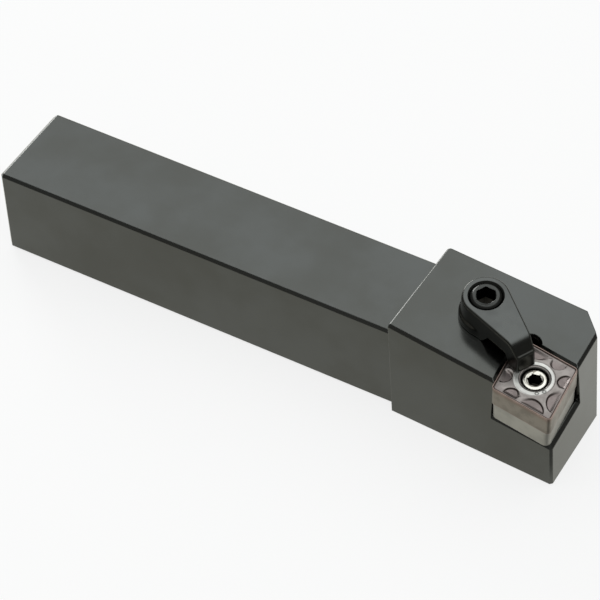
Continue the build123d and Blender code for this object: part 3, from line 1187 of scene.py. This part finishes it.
@dataclass
class Seating:
    """The shim and the insert, which sit in the body's pocket."""

    def build(self) -> list[str]:
        """Makes the shim and the insert, which replace their CAD nodes.

        Returns:
            The names of the pieces.
        """
        carbide = SinteredCarbide("shim_ground_carbide")
        coating = InsertCoating("insert_coating")
        return [stand_for(Shim().build(), carbide, "shim", Body.HOLDER),
                stand_for(Insert().build(), coating, "insert", Body.HOLDER)]


@dataclass
class Clamping:
    """The finger clamp, its screw and the lock pin."""

    def build(self) -> list[str]:
        """Makes the clamp, the screw and the pin, which replace their CAD nodes.

        Returns:
            The names of the pieces.
        """
        forged = ForgedBlack("forged_black_clamp")
        # The screw's socket gets painted shade.
        oxide = BlackOxide("black_oxide_screw", roughness=(0.26, 0.34), wear=0.5, round_edge=0.05,
                           shade_socket=True)
        steel = BrightSteel("pin_bright_steel")
        return [stand_for(FingerClamp().build(), forged, "clamp", Body.CLAMP),
                stand_for(clamp_screw().build(), oxide, "clamp_screw", Body.CLAMP_SCREW),
                stand_for(lock_pin().build(), steel, "lock_pin", Body.LOCK_PIN)]


# The studio


def stand(name: str, data: bpy.types.ID, axes: tuple, place: Triple) -> bpy.types.Object:
    """Adds an object to the scene at a place, turned as its axes say.

    Args:
        name: the object's name.
        data: its light or camera.
        axes: directions of its own X, Y and Z.
        place: where it stands, in metres.

    Returns:
        The object.
    """
    made = bpy.data.objects.new(name, data)
    bpy.context.scene.collection.objects.link(made)
    turn = np.eye(4)
    turn[:3, :3] = np.array(axes).T
    turn[:3, 3] = place
    made.matrix_world = Matrix(turn.tolist())
    return made


@dataclass(frozen=True)
class Lamp:
    """A soft rectangular lamp that faces the tool. Metres and watts."""

    name: str
    place: Triple
    width: float
    height: float
    power: float
    target: Triple = (0.03, -0.005, 0.01)

    def build(self) -> None:
        """Adds the lamp, its own Z along the line from the target to the lamp."""
        data = bpy.data.lights.new(self.name, "AREA")
        data.shape = "RECTANGLE"
        data.size, data.size_y = self.width, self.height
        data.energy = self.power
        back = np.array(self.place) - np.array(self.target)
        back = back / np.linalg.norm(back)
        side = np.cross([0, 0, 1], back)
        side = side / np.linalg.norm(side)
        stand(self.name, data, (side, np.cross(back, side), back), self.place)


@dataclass
class Studio:
    """Pale floor, soft light from above and behind, a rim lamp and the camera of the photograph. Metres."""

    floor_half: float = 6.0
    floor_level: float = -5e-5
    floor_tone: Rgb = (0.93, 0.93, 0.93)
    floor_glow: float = 0.8
    # Floor tones that only reflections show: painted reflection, dimmer and warmer than the floor the
    # camera sees, with painted shade towards the near side and a patch of painted shade at the near front.
    far_floor: Rgb = (0.88, 0.875, 0.81)
    near_floor_shade: Rgb = (0.56, 0.55, 0.468)
    near_y: Pair = (0.02, -0.06)
    shade_patch_tone: Rgb = (0.16, 0.16, 0.14)
    shade_patch_x: Pair = (0.0795, 0.083)
    shade_patch_y: Pair = (-0.012, -0.017)
    sky_lean: float = 0.10
    sky_edge: Pair = (0.54, 0.76)
    wall_tone: Rgb = (0.15, 0.15, 0.142)
    ceiling_tone: Rgb = (1.20, 1.24, 1.23)
    rim_lamp: Lamp = Lamp("rim_lamp", (-0.78, 0.60, 0.26), width=0.4, height=0.5, power=5.0)
    camera_place: Triple = (0.298261, -0.410214, 0.522309)
    camera_right: Triple = (0.85258, 0.52009, -0.05107)
    camera_up: Triple = (-0.34526, 0.63394, 0.69204)
    camera_back: Triple = (0.39231, -0.57239, 0.72005)
    camera_reach: Pair = (0.01, 50.0)
    lens: float = 223.34
    sensor: float = 36.0

    def floor_material(self) -> bpy.types.Material:
        """Matt near-white, white to the camera; in reflections a dimmer painted tone, with painted shade at
        the near side and a patch of painted shade at the near front.

        Returns:
            The floor's material.
        """
        material = bpy.data.materials.new("studio_floor")
        material.use_nodes = True
        graph = Graph(material.node_tree)
        nodes = graph.tree.nodes
        nodes.remove(nodes["Principled BSDF"])
        matt = graph.node("BsdfDiffuse", Color=rgba(self.floor_tone)).outputs[0]
        path = graph.node("LightPath").outputs
        place = graph.node("SeparateXYZ", Vector=graph.object_place()).outputs
        # Painted shade in reflections: darker towards the near side, and a patch of it at the near front.
        near = graph.spread(place["Y"], *self.near_y)
        shade_patch_x, shade_patch_y = graph.spread(place["X"], *self.shade_patch_x), graph.spread(place["Y"], *self.shade_patch_y)
        mirrored = graph.mix(near, self.far_floor, self.near_floor_shade)
        mirrored = graph.mix(graph.math("MULTIPLY", shade_patch_x, shade_patch_y), mirrored, self.shade_patch_tone)
        shown = graph.mix(path["Is Glossy Ray"], WHITE, mirrored)
        glow = graph.node("Emission", Color=shown, Strength=1.0).outputs[0]
        bounced = graph.math("MAXIMUM", path["Is Glossy Ray"], path["Is Transmission Ray"])
        seen = graph.math("MAXIMUM", path["Is Camera Ray"], bounced)
        share = graph.math("MULTIPLY", seen, self.floor_glow)
        both = graph.node("MixShader", i0=share, i1=matt, i2=glow)
        graph.tree.links.new(both.outputs[0], nodes["Material Output"].inputs["Surface"])
        return material

    def floor(self) -> None:
        """Adds the floor, just below the tool."""
        h, z = self.floor_half, self.floor_level
        mesh = bpy.data.meshes.new("floor")
        mesh.from_pydata([(-h, -h, z), (h, -h, z), (h, h, z), (-h, h, z)], [], [(0, 1, 2, 3)])
        mesh.materials.append(self.floor_material())
        made = bpy.data.objects.new("floor", mesh)
        bpy.context.scene.collection.objects.link(made)

    def sky(self) -> None:
        """World light: bright overhead and to the back, easing to dim walls all round.

        Level: height of the direction + lean x its part along Y, eased from the walls to the ceiling.
        """
        world = bpy.data.worlds.new("studio")
        bpy.context.scene.world = world
        world.use_nodes = True
        graph = Graph(world.node_tree)
        parts = graph.node("SeparateXYZ", Vector=graph.node("TexCoord").outputs["Generated"]).outputs
        height = graph.math("ADD", parts["Z"], graph.math("MULTIPLY", parts["Y"], self.sky_lean))
        level = graph.mix(graph.spread(height, *self.sky_edge), self.wall_tone, self.ceiling_tone)
        background = graph.tree.nodes["Background"].inputs
        graph.tree.links.new(level, background["Color"])
        background["Strength"].default_value = 1.0

    def camera(self) -> None:
        """The photograph's camera, a long lens from the near right."""
        data = bpy.data.cameras.new("camera")
        data.lens = self.lens
        data.sensor_width = self.sensor
        data.clip_start, data.clip_end = self.camera_reach
        axes = (self.camera_right, self.camera_up, self.camera_back)
        bpy.context.scene.camera = stand("camera", data, axes, self.camera_place)

    def build(self) -> None:
        """Camera, floor, sky and the rim lamp."""
        bpy.context.scene.view_settings.view_transform = "Standard"
        self.camera()
        self.floor()
        self.sky()
        self.rim_lamp.build()


def main() -> None:
    """Builds the studio, then the tool holder's pieces, and reports each sub-assembly."""
    Studio().build()
    log.info("studio is in place")
    for assembly in (Holder(), Seating(), Clamping()):
        log.info("built %s", ", ".join(assembly.build()))


if __name__ == "__main__":
    main()
